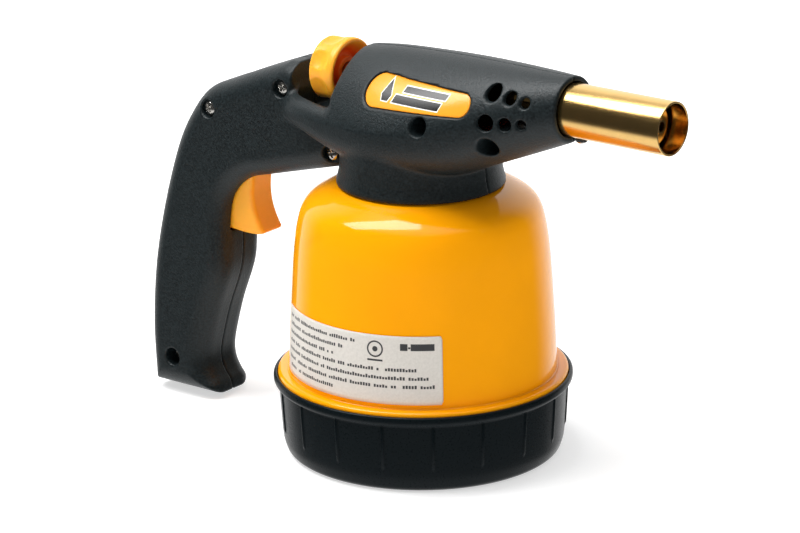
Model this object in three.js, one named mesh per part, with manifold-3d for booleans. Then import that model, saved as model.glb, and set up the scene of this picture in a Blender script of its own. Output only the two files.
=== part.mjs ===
// Propane torch on a pierceable gas cartridge: a pistol grip housing in two halves on a bell-shaped cartridge
// holder, closed from below by a screw-on base cup. Millimetres, +X towards the burner mouth, +Z up.
// The origin is the centre of the base cup's underside.
import * as THREE from "three";
import { mergeVertices } from "three/addons/utils/BufferGeometryUtils.js";
import Module from "manifold-3d";

const wasm = await Module();
wasm.setup();

// ---- Driving dimensions ----

const GAP = 0.3; // clearance kept between pieces that touch
const WALL = 2.4; // moulded wall of the housing
const HOLDER_WALL = 1; // pressed steel of the holder
const ROUND = 36; // facets on the big turned pieces

// Heights of the two axes that run along X
const KNOB_AXIS_Z = 136.7;
const BURNER_AXIS_Z = 138.5;

// Gas cartridge
const CARTRIDGE_RADIUS = 44.6;
const CARTRIDGE_FOOT_Z = 3.4;
const CARTRIDGE_TOP_Z = 91;
const CARTRIDGE_WALL = 0.9;

// Base cup and holder
const BASE_RIM_RADIUS = 54.6;
const BASE_RIM_Z = 29.6;
const HOLDER_FLANGE_RADIUS = 53;
const HOLDER_TOP_Z = 103;
const VALVE_STEM_RADIUS = 9;

// Housing
const PLATE_HALF = 13; // half thickness of the grip and neck
const PLATE_ROUNDING = 8;
const SEAM = 0.3; // slit between the two halves
const COLLAR_BOTTOM = { radius: 30.5, z: 100.8 };
const COLLAR_TOP = { radius: 28.9, z: 122 };
const NOSE_X = 67.5;

// Notch in the back of the head that the knob turns in
const NOTCH = { rearX: -49.5, frontX: -24.2, cheekZ: 128.6, pocketZ: 121, cheekWall: 3.2 };

// Gas knob
const KNOB = { rearX: -42, frontX: -30.6, barrel: 11.6, ring: 12.3, flutes: 7 };

// Trigger and the piezo igniter behind it
const TRIGGER_HALF = 6.3;
const PIEZO_AXIS_Z = 80;
const PIEZO_HALF = 4.3;

// Burner
const TUBE = { outer: 9.575, inner: 8.9, rearX: 62, mouthX: 109.3 };
const FLAME_DISC_X = 102;
const MIXER = { outer: 2.6, inner: 1.8, mouthX: 104.5 };
const ELECTRODE_OFFSET = 5.7; // height of the electrode over the burner axis
const BUSH = { rearX: 68.5, frontX: 73.5 };

// Housing screws: place in X and Z, half width of the housing there, depth of the head below the surface
const SCREWS = [
  { name: "grip_top_screw", x: -89.6, z: 115.7, half: 13, depth: 1 },
  { name: "neck_screw", x: -54.6, z: 129.1, half: 13, depth: 1 },
  { name: "collar_screw", x: -31.8, z: 108.2, half: 13, depth: 1 },
  { name: "grip_bottom_screw", x: -110.4, z: 14.8, half: 13, depth: 4 },
  { name: "head_screw", x: 19.6, z: 130.2, half: 27.6, depth: 12 },
  { name: "nose_screw", x: 44.2, z: 125.5, half: 19.2, depth: 7 },
];
const SCREW = { head: 2.5, headHeight: 1.6, shank: 1.4, boss: 4.3, recess: 3.3 };

// Vent holes in each side of the nose: place in X and Z, and radius
const VENTS = [
  [44.2, 144.2, 3.2],
  [51.1, 143.3, 2.7],
  [56.9, 142.3, 2.2],
  [44.1, 134.3, 3.1],
  [50.7, 134.4, 2.6],
  [56.1, 134.9, 2],
];

// Side badge: a tapered pill between two circles
const BADGE = { rear: [-2.6, 138.7, 5], front: [33.3, 138.9, 3.6], sink: 0.6, thickness: 0.8 };

// ---- Materials ----

const finish = (color, roughness, metalness = 0) =>
  new THREE.MeshStandardMaterial({ color, roughness, metalness });
const YELLOW_PAINT = finish(0xfaa50f, 0.22);
const BLACK_PLASTIC = finish(0x2d3032, 0.55);
const BASE_PLASTIC = finish(0x1e2324, 0.35);
const ORANGE_PLASTIC = finish(0xffaf2d, 0.4);
const LABEL_PAPER = finish(0xe1dedd, 0.5);
const BRASS = finish(0xd9b25f, 0.2, 1);
const STEEL = finish(0xb4b6b8, 0.35, 1);
const TIN_PLATE = finish(0xc9ccce, 0.3, 1);
const SEAL_RUBBER = finish(0x141414, 0.8);
const CERAMIC = finish(0xf0ece2, 0.4);
const NATURAL_PLASTIC = finish(0xd8d4c8, 0.5);
const WIRE_SLEEVE = finish(0xb0281e, 0.5);

// ---- Making solids ----

// A closed geometry as a solid that can be joined and cut.
function solid(geometry) {
  const bare = geometry.clone();
  bare.deleteAttribute("normal");
  bare.deleteAttribute("uv");
  const merged = mergeVertices(bare, 1e-4);
  return new wasm.Manifold(
    new wasm.Mesh({
      numProp: 3,
      vertProperties: merged.attributes.position.array,
      triVerts: new Uint32Array(merged.index.array),
    }),
  );
}

// A geometry made along Z, turned to lie along the named axis and moved to its place.
function placed(geometry, axis = "z", at = [0, 0, 0]) {
  if (axis === "x") geometry.rotateY(Math.PI / 2);
  if (axis === "y") geometry.rotateX(-Math.PI / 2);
  geometry.translate(...at);
  return solid(geometry);
}

// A profile of [radius, height] points, up the outside, turned about its own axis.
function turned(profile, segments = 24, axis = "z", at = [0, 0, 0]) {
  const points = profile.map(([radius, height]) => new THREE.Vector2(radius, height));
  const geometry = new THREE.LatheGeometry(points, segments);
  geometry.rotateX(Math.PI / 2);
  return placed(geometry, axis, at);
}

// A ring or a rod from one height to another; an inner radius of 0 makes a rod.
function ring(inner, outer, low, high, segments = 24, axis = "z", at = [0, 0, 0]) {
  const profile = [
    [inner, low],
    [outer, low],
    [outer, high],
    [inner, high],
  ];
  if (inner > 0) profile.push([inner, low]);
  return turned(profile, segments, axis, at);
}

// A box between two corners.
function box(low, high) {
  const size = high.map((value, i) => value - low[i]);
  const geometry = new THREE.BoxGeometry(...size);
  geometry.translate(...low.map((value, i) => value + size[i] / 2));
  return solid(geometry);
}

// Distance from a point to a stretch of outline.
function distanceTo(point, from, to) {
  const nearest = new THREE.Line3(
    new THREE.Vector3(from.x, from.y, 0),
    new THREE.Vector3(to.x, to.y, 0),
  ).closestPointToPoint(new THREE.Vector3(point.x, point.y, 0), true, new THREE.Vector3());
  return Math.hypot(point.x - nearest.x, point.y - nearest.y);
}

// Leaves out the points that lie within the tolerance of the line between their neighbours.
function simplified(points, tolerance) {
  if (points.length < 3) return points;
  const [first, last] = [points[0], points[points.length - 1]];
  let worst = 0;
  let at = 0;
  for (let i = 1; i < points.length - 1; i++) {
    const distance = distanceTo(points[i], first, last);
    if (distance > worst) [worst, at] = [distance, i];
  }
  if (worst <= tolerance) return [first, last];
  const before = simplified(points.slice(0, at + 1), tolerance);
  return [...before.slice(0, -1), ...simplified(points.slice(at), tolerance)];
}

// A closed outline moved inwards, with the places dropped where the moved line would cross itself.
function insetOutline(shape, distance) {
  const corners = shape.getPoints(6);
  if (corners[0].distanceTo(corners[corners.length - 1]) < 0.01) corners.pop();
  const turn = THREE.ShapeUtils.isClockWise(corners) ? -1 : 1;
  const edges = corners.map((corner, i) => [corner, corners[(i + 1) % corners.length]]);
  const kept = [];
  for (const [from, to] of edges) {
    const along = to.clone().sub(from);
    const steps = Math.max(1, Math.ceil(along.length()));
    const inwards = new THREE.Vector2(-along.y, along.x).normalize().multiplyScalar(turn * distance);
    for (let k = 0; k < steps; k++) {
      const moved = from.clone().addScaledVector(along, (k + 0.5) / steps).add(inwards);
      if (edges.every(([a, b]) => distanceTo(moved, a, b) > distance - 0.02)) kept.push(moved);
    }
  }
  return new THREE.Shape(simplified([...kept, kept[0]], 0.2).slice(0, -1));
}

// A side view outline, drawn in X and Z, given a thickness across Y with rounded edges.
// Inset moves every face inwards by that much.
function plate(shape, half, rounding, inset = 0) {
  const geometry = new THREE.ExtrudeGeometry(insetOutline(shape, rounding), {
    depth: 2 * (half - rounding),
    bevelEnabled: true,
    bevelThickness: rounding - inset,
    bevelSize: rounding - inset,
    bevelSegments: 2,
    steps: 1,
  });
  geometry.translate(0, 0, -(half - rounding));
  geometry.rotateX(Math.PI / 2);
  return solid(geometry);
}

// Smooth curve through [x, value] points, read at x.
function smooth(points, x) {
  const last = points.length - 1;
  const i = Math.max(
    0,
    Math.min(last - 1, points.findIndex(([px]) => px > x) - 1),
  );
  const k = x >= points[last][0] ? last - 1 : i;
  const slope = (j) => {
    const before = points[Math.max(j - 1, 0)];
    const after = points[Math.min(j + 1, last)];
    return (after[1] - before[1]) / (after[0] - before[0]);
  };
  const [x0, y0] = points[k];
  const [x1, y1] = points[k + 1];
  const t = (x - x0) / (x1 - x0);
  const span = x1 - x0;
  return (
    (2 * t ** 3 - 3 * t ** 2 + 1) * y0 +
    (t ** 3 - 2 * t ** 2 + t) * span * slope(k) +
    (3 * t ** 2 - 2 * t ** 3) * y1 +
    (t ** 3 - t ** 2) * span * slope(k + 1)
  );
}

// The biggest body of a solid, without the slivers that a cut can leave.
function largest(manifold) {
  return manifold.decompose().reduce((best, body) => (body.volume() > best.volume() ? body : best));
}

const pieces = new THREE.Group();

// Adds a solid to the torch as a named mesh.
function add(name, material, manifold) {
  const mesh = manifold.getMesh();
  const geometry = new THREE.BufferGeometry();
  geometry.setAttribute("position", new THREE.BufferAttribute(mesh.vertProperties, 3));
  geometry.setIndex(new THREE.BufferAttribute(mesh.triVerts, 1));
  geometry.computeVertexNormals();
  const part = new THREE.Mesh(geometry, material);
  part.name = name;
  pieces.add(part);
  return manifold;
}

// ---- Base cup, cartridge and holder ----

function baseCup() {
  const cup = turned(
    [
      [0, 0],
      [14, 0],
      [14.6, 1],
      [39.4, 1],
      [40, 0],
      [48, 0],
      [49.8, 1.4],
      [51, 4.6],
      [51.5, 8],
      [52.7, 26],
      [54, 26.4],
      [BASE_RIM_RADIUS, 27.2],
      [BASE_RIM_RADIUS, 29],
      [54.2, BASE_RIM_Z],
      [HOLDER_FLANGE_RADIUS + GAP, BASE_RIM_Z],
      [HOLDER_FLANGE_RADIUS + GAP, 26.6],
      [50, 26.6],
      [49.2, 6],
      [47, 3],
      [0, 3],
    ],
    ROUND,
  );
  add("base_cup", BASE_PLASTIC, cup);
}

function gasCartridge() {
  const wall = CARTRIDGE_WALL;
  const hole = 1.2;
  add(
    "gas_cartridge",
    TIN_PLATE,
    turned(
      [
        [0, CARTRIDGE_FOOT_Z + 3],
        [42, CARTRIDGE_FOOT_Z],
        [CARTRIDGE_RADIUS, CARTRIDGE_FOOT_Z + 1],
        [CARTRIDGE_RADIUS, 66],
        [43, 74],
        [38, 82],
        [28, 88],
        [12, CARTRIDGE_TOP_Z],
        [hole, CARTRIDGE_TOP_Z],
        [hole, CARTRIDGE_TOP_Z - wall],
        [12, CARTRIDGE_TOP_Z - wall],
        [27.6, 88 - wall],
        [37.3, 81.4],
        [42.1, 73.7],
        [CARTRIDGE_RADIUS - wall, 65.8],
        [CARTRIDGE_RADIUS - wall, CARTRIDGE_FOOT_Z + 1.9],
        [0, CARTRIDGE_FOOT_Z + 3 + wall],
      ],
      32,
    ),
  );
}

// Outside of the bell from the groove above its flange to the edge of its flat top
const BELL = [
  [48.8, 31.4],
  [48.6, 40],
  [47.5, 60],
  [46.5, 75],
  [45.4, 83],
  [44.2, 89],
  [42.6, 93],
  [39.6, 96],
  [36.4, 97.9],
  [33.2, 99.4],
  [29, 100.7],
  [26.4, 101.2],
  [24, HOLDER_TOP_Z],
];

// An open profile moved towards the axis by a wall's thickness, and turned round to run back down.
function liner(profile, wall) {
  const moved = profile.map(([radius, height], i) => {
    const [r0, z0] = profile[Math.max(i - 1, 0)];
    const [r1, z1] = profile[Math.min(i + 1, profile.length - 1)];
    const length = Math.hypot(r1 - r0, z1 - z0);
    return [radius - (wall * (z1 - z0)) / length, height + (wall * (r1 - r0)) / length];
  });
  return moved.reverse();
}

function holderShell() {
  const skirt = 49; // outer radius of the skirt that the base cup screws onto
  add(
    "holder_shell",
    YELLOW_PAINT,
    turned(
      [
        [skirt - HOLDER_WALL, 12],
        [skirt, 12],
        [skirt, 26.9],
        [HOLDER_FLANGE_RADIUS - 0.4, 26.9],
        [HOLDER_FLANGE_RADIUS, 27.4],
        [HOLDER_FLANGE_RADIUS, 30.2],
        [52.2, 31],
        [50, 31],
        ...BELL,
        [VALVE_STEM_RADIUS + GAP, HOLDER_TOP_Z],
        [VALVE_STEM_RADIUS + GAP, HOLDER_TOP_Z - HOLDER_WALL],
        ...liner(BELL, HOLDER_WALL),
        [skirt - HOLDER_WALL, 12],
      ],
      ROUND,
    ),
  );
}

function ratingLabel() {
  const [low, high] = [32.7, 57.9];
  const [from, to] = [-132, -44].map((degrees) => (degrees * Math.PI) / 180);
  const bell = (z) => smooth([[30, 48.83], [40, 48.6], [60, 47.5]], z);
  const stand = 0.2; // gap to the bell
  const band = turned(
    [
      [bell(low) + stand, low],
      [bell(low) + stand + 0.25, low],
      [bell(40) + stand + 0.25, 40],
      [bell(high) + stand + 0.25, high],
      [bell(high) + stand, high],
      [bell(40) + stand, 40],
      [bell(low) + stand, low],
    ],
    ROUND,
  );
  const reach = 120;
  const wedge = new THREE.Shape([
    new THREE.Vector2(0, 0),
    new THREE.Vector2(reach * Math.cos(from), reach * Math.sin(from)),
    new THREE.Vector2(0, -reach),
    new THREE.Vector2(reach * Math.cos(to), reach * Math.sin(to)),
  ]);
  const cutter = solid(
    new THREE.ExtrudeGeometry(wedge, { depth: high, bevelEnabled: false }).translate(0, 0, low / 2),
  );
  add("rating_label", LABEL_PAPER, band.intersect(cutter));
}

// ---- Valve, needle and seals ----

const VALVE_FLANGE_Z = HOLDER_TOP_Z + GAP;
const VALVE_FOOT_Z = 94.4;
const NEEDLE_RADIUS = 0.8;

function valve() {
  const stem = ring(0, VALVE_STEM_RADIUS, VALVE_FOOT_Z, 119, 28);
  const flange = ring(0, 15, VALVE_FLANGE_Z, VALVE_FLANGE_Z + 2.5, 28);
  const block = box([-11, -9, 117], [11, 9, 143]);
  const spindleBore = ring(0, 3 + GAP, -12, 2.4, 20, "x", [0, 0, KNOB_AXIS_Z]);
  const glandBore = ring(0, 6.5 + GAP, -12, -6, 20, "x", [0, 0, KNOB_AXIS_Z]);
  const gasBore = ring(0, 1.5, 0, 12, 16, "x", [0, 0, BURNER_AXIS_Z]);
  const riser = ring(0, NEEDLE_RADIUS + GAP, VALVE_FOOT_Z - 1, KNOB_AXIS_Z, 16);
  add(
    "valve_body",
    BRASS,
    stem.add(flange).add(block).subtract(spindleBore).subtract(glandBore).subtract(gasBore).subtract(riser),
  );
  add(
    "holder_nut",
    STEEL,
    ring(VALVE_STEM_RADIUS + GAP, 14, HOLDER_TOP_Z - HOLDER_WALL - GAP - 3.2, HOLDER_TOP_Z - HOLDER_WALL - GAP, 6).subtract(
      ring(0, VALVE_STEM_RADIUS + GAP, 90, 110, 28),
    ),
  );
  add("cartridge_seal", SEAL_RUBBER, ring(1.6, 7.5, CARTRIDGE_TOP_Z + GAP, VALVE_FOOT_Z - GAP, 24));
  add(
    "piercing_needle",
    STEEL,
    turned(
      [
        [0.35, 84],
        [0.5, 84],
        [NEEDLE_RADIUS, 87],
        [NEEDLE_RADIUS, 104],
        [0.35, 104],
        [0.35, 84],
      ],
      12,
    ),
  );
  add(
    "gland_seal",
    SEAL_RUBBER,
    ring(3 + GAP, 6, -6 - GAP - 1.6, -6 - GAP, 20, "x", [0, 0, KNOB_AXIS_Z]),
  );
  const hexagon = ring(3 + GAP, 7.5, -16, -11.3, 6, "x", [0, 0, KNOB_AXIS_Z]);
  const spigot = ring(3 + GAP, 6.5, -11.6, -8.3, 20, "x", [0, 0, KNOB_AXIS_Z]);
  const through = ring(0, 3 + GAP, -20, 0, 20, "x", [0, 0, KNOB_AXIS_Z]);
  add("gland_nut", BRASS, hexagon.add(spigot).subtract(through));
}

function gasKnob() {
  add(
    "valve_spindle",
    BRASS,
    turned(
      [
        [0, KNOB.rearX + 3],
        [2.6, KNOB.rearX + 3],
        [3, KNOB.rearX + 3.5],
        [3, -2],
        [0, 2],
      ],
      20,
      "x",
      [0, 0, KNOB_AXIS_Z],
    ),
  );
  const body = turned(
    [
      [0, KNOB.rearX],
      [KNOB.barrel - 0.9, KNOB.rearX],
      [KNOB.barrel, KNOB.rearX + 0.9],
      [KNOB.barrel, KNOB.frontX - 5.6],
      [KNOB.ring, KNOB.frontX - 3],
      [KNOB.ring, KNOB.frontX - 1.1],
      [KNOB.ring - 0.8, KNOB.frontX - 0.2],
      [KNOB.ring - 1.5, KNOB.frontX],
      [8.4, KNOB.frontX - 3],
      [7.8, KNOB.frontX - 4.6],
      [5.2, KNOB.frontX - 4.6],
      [5.2, KNOB.frontX - 2.2],
      [0, KNOB.frontX - 2.2],
    ],
    36,
    "x",
    [0, 0, KNOB_AXIS_Z],
  );
  const fluteRadius = 14;
  const fluteCentre = KNOB.barrel + fluteRadius - 1;
  const bore = ring(0, 3 + GAP, KNOB.rearX + 3 - GAP, KNOB.frontX + 6, 20, "x", [0, 0, KNOB_AXIS_Z]);
  let knob = body.subtract(bore);
  for (let i = 0; i < KNOB.flutes; i++) {
    const angle = Math.PI - THREE.MathUtils.degToRad(-23 + (i * 360) / KNOB.flutes);
    const centre = [0, fluteCentre * Math.cos(angle), KNOB_AXIS_Z + fluteCentre * Math.sin(angle)];
    knob = knob.subtract(ring(0, fluteRadius, KNOB.rearX - 1, KNOB.frontX - 4.2, 48, "x", centre));
  }
  add("gas_knob", ORANGE_PLASTIC, knob);
}

// ---- Burner and ignition ----

function burner() {
  const axis = [0, 0, BURNER_AXIS_Z];
  const screwX = (BUSH.rearX + BUSH.frontX) / 2;
  const screwHole = ring(0, 1 + GAP, -TUBE.outer - 2, -4, 12, "z", [screwX, 0, BURNER_AXIS_Z]);
  add("gas_pipe", BRASS, ring(1.5, 3, 11 + GAP, 24, 20, "x", axis));
  add(
    "gas_jet",
    BRASS,
    turned(
      [
        [0.5, 24 + GAP],
        [4, 24 + GAP],
        [4, 30],
        [1.6, 33],
        [0.5, 33],
        [0.5, 24 + GAP],
      ],
      18,
      "x",
      axis,
    ),
  );
  const mixer = turned(
    [
      [4.6, 26],
      [6, 26],
      [6, 46],
      [MIXER.outer, 56],
      [MIXER.outer, MIXER.mouthX],
      [MIXER.inner, MIXER.mouthX],
      [MIXER.inner, 55],
      [4.6, 45],
      [4.6, 26],
    ],
    24,
    "x",
    axis,
  );
  const airHoles = ring(0, 1.8, -10, 10, 10, "y", [39, 0, BURNER_AXIS_Z]).add(
    ring(0, 1.8, -10, 10, 10, "z", [39, 0, BURNER_AXIS_Z]),
  );
  add("mixing_tube", BRASS, mixer.subtract(airHoles));
  add(
    "burner_tube",
    BRASS,
    ring(TUBE.inner, TUBE.outer, TUBE.rearX, TUBE.mouthX, 40, "x", axis).subtract(screwHole),
  );
  const electrodeHole = ring(0, 1.7 + GAP, 60, 80, 16, "x", [0, 0, BURNER_AXIS_Z + ELECTRODE_OFFSET]);
  add(
    "burner_bush",
    STEEL,
    ring(MIXER.outer + GAP, TUBE.inner - GAP, BUSH.rearX, BUSH.frontX, 32, "x", axis)
      .subtract(electrodeHole)
      .subtract(screwHole),
  );
  add("flame_disc", STEEL, ring(MIXER.outer + GAP, 7.6, FLAME_DISC_X - 1.2, FLAME_DISC_X, 32, "x", axis));
  const underside = BURNER_AXIS_Z - TUBE.outer - GAP;
  add(
    "burner_screw",
    STEEL,
    turned(
      [
        [0, underside - 1.5],
        [1.4, underside - 1.5],
        [2.1, underside - 0.9],
        [2.1, underside],
        [1, underside],
        [1, underside + 3],
        [0, underside + 3],
      ],
      16,
      "z",
      [screwX, 0, 0],
    ),
  );
  const electrodeAxis = [0, 0, BURNER_AXIS_Z + ELECTRODE_OFFSET];
  add("electrode_insulator", CERAMIC, ring(0.6 + GAP, 1.7, 58, 92, 16, "x", electrodeAxis));
  add("electrode_rod", STEEL, ring(0, 0.6, 54, 99, 12, "x", electrodeAxis));
}

function ignition() {
  const bore = 3.6;
  const plungerRadius = bore - GAP;
  const axis = [0, 0, PIEZO_AXIS_Z];
  const caseBack = -110.2;
  const caseFront = -92.5;
  const springBack = -107;
  const plungerBack = -100;
  const casing = box(
    [caseBack, -PIEZO_HALF, PIEZO_AXIS_Z - PIEZO_HALF],
    [caseFront, PIEZO_HALF, PIEZO_AXIS_Z + PIEZO_HALF],
  );
  add(
    "piezo_case",
    NATURAL_PLASTIC,
    casing.subtract(ring(0, bore, springBack, caseFront + 1, 24, "x", axis)),
  );
  add("piezo_plunger", BLACK_PLASTIC, ring(0, plungerRadius, plungerBack, -78.6, 20, "x", axis));

  const coils = 4;
  const wire = 0.45;
  const from = springBack + GAP + wire;
  const to = plungerBack - GAP - wire;
  class Helix extends THREE.Curve {
    getPoint(t, target = new THREE.Vector3()) {
      const angle = 2 * Math.PI * coils * t;
      const radius = 2.5;
      return target.set(
        from + (to - from) * t,
        radius * Math.cos(angle),
        PIEZO_AXIS_Z + radius * Math.sin(angle),
      );
    }
  }
  add("piezo_spring", STEEL, swept(new Helix(), wire, coils * 8, 6));

  const sleeve = 1.1;
  const route = [
    [-104, 0, PIEZO_AXIS_Z + PIEZO_HALF + GAP],
    [-104, 0, 88],
    [-102, 2, 98],
    [-92, 4, 107],
    [-76, 6, 110],
    [-55, 7, 113],
    [-40, 7.6, 115.5],
    [-33, 8, 116.6],
    [-27, 9, 116.8],
    [-12, 14, 118],
    [8, 15, 119],
    [24, 13, 121.5],
    [33, 11, 128],
    [39, 9.5, 137],
    [45.5, 8, 141.5],
    [50.5, 3, 144.5],
    [53.2, 0, BURNER_AXIS_Z + ELECTRODE_OFFSET],
  ];
  const curve = new THREE.CatmullRomCurve3(route.map((point) => new THREE.Vector3(...point)));
  add("ignition_wire", WIRE_SLEEVE, swept(curve, sleeve, 36, 8));
}

// A round wire along a curve.
function swept(curve, radius, steps, sides) {
  const section = new THREE.Shape();
  for (let i = 0; i < sides; i++) {
    const angle = (2 * Math.PI * i) / sides;
    const point = [radius * Math.cos(angle), radius * Math.sin(angle)];
    if (i === 0) section.moveTo(...point);
    else section.lineTo(...point);
  }
  section.closePath();
  return solid(new THREE.ExtrudeGeometry(section, { steps, extrudePath: curve, bevelEnabled: false }));
}

// ---- Trigger ----

function trigger() {
  const outline = new THREE.Shape();
  const rear = -97;
  const [low, high] = [68.3, 92.4];
  outline.moveTo(rear, low);
  outline.lineTo(-84, low);
  outline.quadraticCurveTo(-77, 67.4, -71.4, 68.4);
  outline.lineTo(-69.8, 69.5);
  outline.quadraticCurveTo(-72, 73, -73.2, 76.5);
  outline.quadraticCurveTo(-75.9, 83.6, -73.7, high);
  outline.lineTo(rear, high);
  outline.closePath();
  const finger = plate(outline, TRIGGER_HALF, 1.8);
  const flange = box([rear, -TRIGGER_HALF - 2.2, low + 1], [rear + 3, TRIGGER_HALF + 2.2, high - 3]);
  const pocketHalf = PIEZO_HALF + GAP;
  const pocket = box(
    [rear - 1, -pocketHalf, PIEZO_AXIS_Z - pocketHalf],
    [-78.3, pocketHalf, PIEZO_AXIS_Z + pocketHalf],
  );
  add("trigger", ORANGE_PLASTIC, finger.add(flange).subtract(pocket));
}

// ---- Housing ----

// Sections of the head from tail to nose
const HEAD_HALF_WIDTH = [
  [-57, 4], [-53, 12.5], [-47, 18.2], [-38, 22.2], [-24, 26.2], [-6, 29.6], [8, 29.8], [24, 27.2], [36, 23.8],
  [48, 19.6], [58, 15.8], [NOSE_X, 11.9],
];
const HEAD_TOP = [
  [-57, 127], [-48, 138], [-38, 142.8], [-24, 147.9], [-15, 149.3], [-6, 150], [6, 150.5], [16, 150.8], [30, 150.9],
  [NOSE_X, 150.5],
];
const HEAD_WIDEST = [
  [-57, 122.8], [-40, 123.8], [-18, 124.6], [8, 126], [24, 128.6], [38, 131.6], [52, 135], [NOSE_X, BURNER_AXIS_Z],
];
const HEAD_BOTTOM = [
  [-57, 120], [-50, 117.6], [-40, 115], [-30, 111.9], [-18, 109], [-6, 107.5], [4, 107.2], [18, 108.6], [29, 111],
  [38, 114.6], [48, 118.6], [58, 122.7], [NOSE_X, 126.7],
];

// The head as a loft of rounded sections, every face moved inwards by the inset.
function head(inset, fromX = -57, toX = NOSE_X) {
  const stations = 16;
  const sides = 20;
  const positions = [];
  for (let i = 0; i < stations; i++) {
    const x = fromX + ((toX - fromX) * i) / (stations - 1);
    const half = smooth(HEAD_HALF_WIDTH, x) - inset;
    const widest = smooth(HEAD_WIDEST, x);
    const up = smooth(HEAD_TOP, x) - widest - inset;
    const down = widest - smooth(HEAD_BOTTOM, x) - inset;
    const ridge = 1.14 + 0.86 * THREE.MathUtils.smoothstep(x, 0, NOSE_X);
    const belly = 3 - THREE.MathUtils.smoothstep(x, 20, NOSE_X);
    for (let k = 0; k < sides; k++) {
      const angle = (2 * Math.PI * k) / sides;
      const [c, s] = [Math.cos(angle), Math.sin(angle)];
      const [acrossPower, risePower] = s > 0 ? [1, 2 / ridge] : [2 / belly, 2 / belly];
      positions.push(
        x,
        half * Math.sign(c) * Math.abs(c) ** acrossPower,
        widest + (s > 0 ? up : down) * Math.sign(s) * Math.abs(s) ** risePower,
      );
    }
  }
  const index = [];
  for (let i = 0; i < stations - 1; i++)
    for (let k = 0; k < sides; k++) {
      const a = i * sides + k;
      const b = i * sides + ((k + 1) % sides);
      index.push(a, b, a + sides, b, b + sides, a + sides);
    }
  const end = (stations - 1) * sides;
  for (let k = 1; k < sides - 1; k++) {
    index.push(0, k + 1, k);
    index.push(end, end + k, end + k + 1);
  }
  const geometry = new THREE.BufferGeometry();
  geometry.setAttribute("position", new THREE.BufferAttribute(new Float32Array(positions), 3));
  geometry.setIndex(index);
  return solid(geometry);
}

// Side view of the grip and the neck, down to where they run into the head and collar
function gripOutline() {
  const back = [
    [-54, 138.6],
    [-60, 136.3],
    [-70, 132.4],
    [-80, 128.2],
    [-92.1, 122.7],
    [-100.2, 113.6],
    [-107.7, 99.8],
    [-115.5, 75.9],
    [-121, 51],
    [-123.2, 26],
    [-122.4, 2.2],
  ];
  const front = [
    [-91.8, 2.2],
    [-94.6, 9],
    [-96.5, 13],
    [-96.3, 19.5],
    [-91.9, 35.3],
    [-86, 50.8],
    [-84.5, 60.5],
    [-84.2, 73],
    [-81.5, 83],
    [-74, 90.3],
    [-61.7, 94.2],
    [-33.3, 101.9],
  ];
  const shape = new THREE.Shape();
  shape.moveTo(-28, 103.4);
  shape.lineTo(-28, 122);
  shape.lineTo(-44, 132);
  shape.lineTo(-46, 139);
  shape.lineTo(...back[0]);
  shape.splineThru(back.slice(1).map(([x, z]) => new THREE.Vector2(x, z)));
  shape.lineTo(...front[0]);
  shape.splineThru(front.slice(1).map(([x, z]) => new THREE.Vector2(x, z)));
  shape.closePath();
  return shape;
}

function badgeOutline(grow) {
  const [rearX, rearZ, rearRadius] = BADGE.rear;
  const [frontX, frontZ, frontRadius] = BADGE.front;
  const shape = new THREE.Shape();
  shape.absarc(rearX, rearZ, rearRadius + grow, Math.PI / 2, (3 * Math.PI) / 2, false);
  shape.absarc(frontX, frontZ, frontRadius + grow, -Math.PI / 2, Math.PI / 2, false);
  shape.closePath();
  return shape;
}

// A flat-ended prism of a side view outline, between two places across Y.
function prism(shape, fromY, toY) {
  const geometry = new THREE.ExtrudeGeometry(shape, {
    depth: toY - fromY,
    bevelEnabled: false,
    curveSegments: 6,
  });
  geometry.rotateX(Math.PI / 2);
  geometry.translate(0, toY, 0);
  return solid(geometry);
}

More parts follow.
